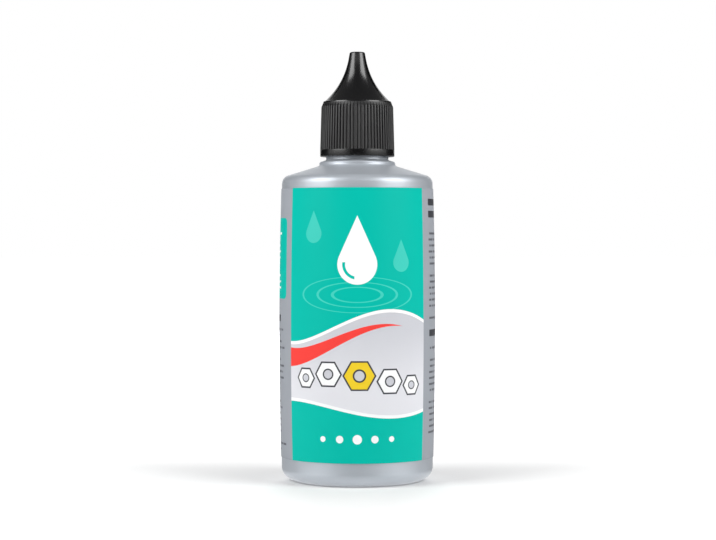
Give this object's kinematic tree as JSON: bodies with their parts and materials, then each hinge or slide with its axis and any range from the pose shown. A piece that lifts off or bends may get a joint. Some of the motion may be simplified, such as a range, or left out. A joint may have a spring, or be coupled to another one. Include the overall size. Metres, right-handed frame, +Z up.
{
  "type": "chain lubricant bottle",
  "caption": "Round silver squeeze bottle with a wrap-around label and a pointed, ribbed black screw cap over a fine dropper nozzle, for dripping lubricant on a chain.",
  "frame": {"origin": "centre of the standing ring under the base, on the surface that the bottle stands on", "axes": "+Z up along the bottle's axis to the tip of the cap, -Y out of the front of the label, +X to the right of someone who faces the label"},
  "size_m": [0.0446, 0.0446, 0.1223],
  "materials": {
    "silver_plastic": "satin silver, blown",
    "natural_plastic": "natural, slightly cloudy",
    "black_plastic": "black, moulded, half gloss",
    "label_film": "printed silver film"
  },
  "bodies": {
    "bottle": {"bottle": "silver_plastic", "dropper_insert": "natural_plastic", "label": "label_film"},
    "cap": {"cap": "black_plastic"}
  },
  "joints": [
    {"name": "cap_lift", "type": "slide", "parent": "bottle", "child": "cap", "axis": [0, 0, 1], "range_m": [0, 0.034]}
  ]
}
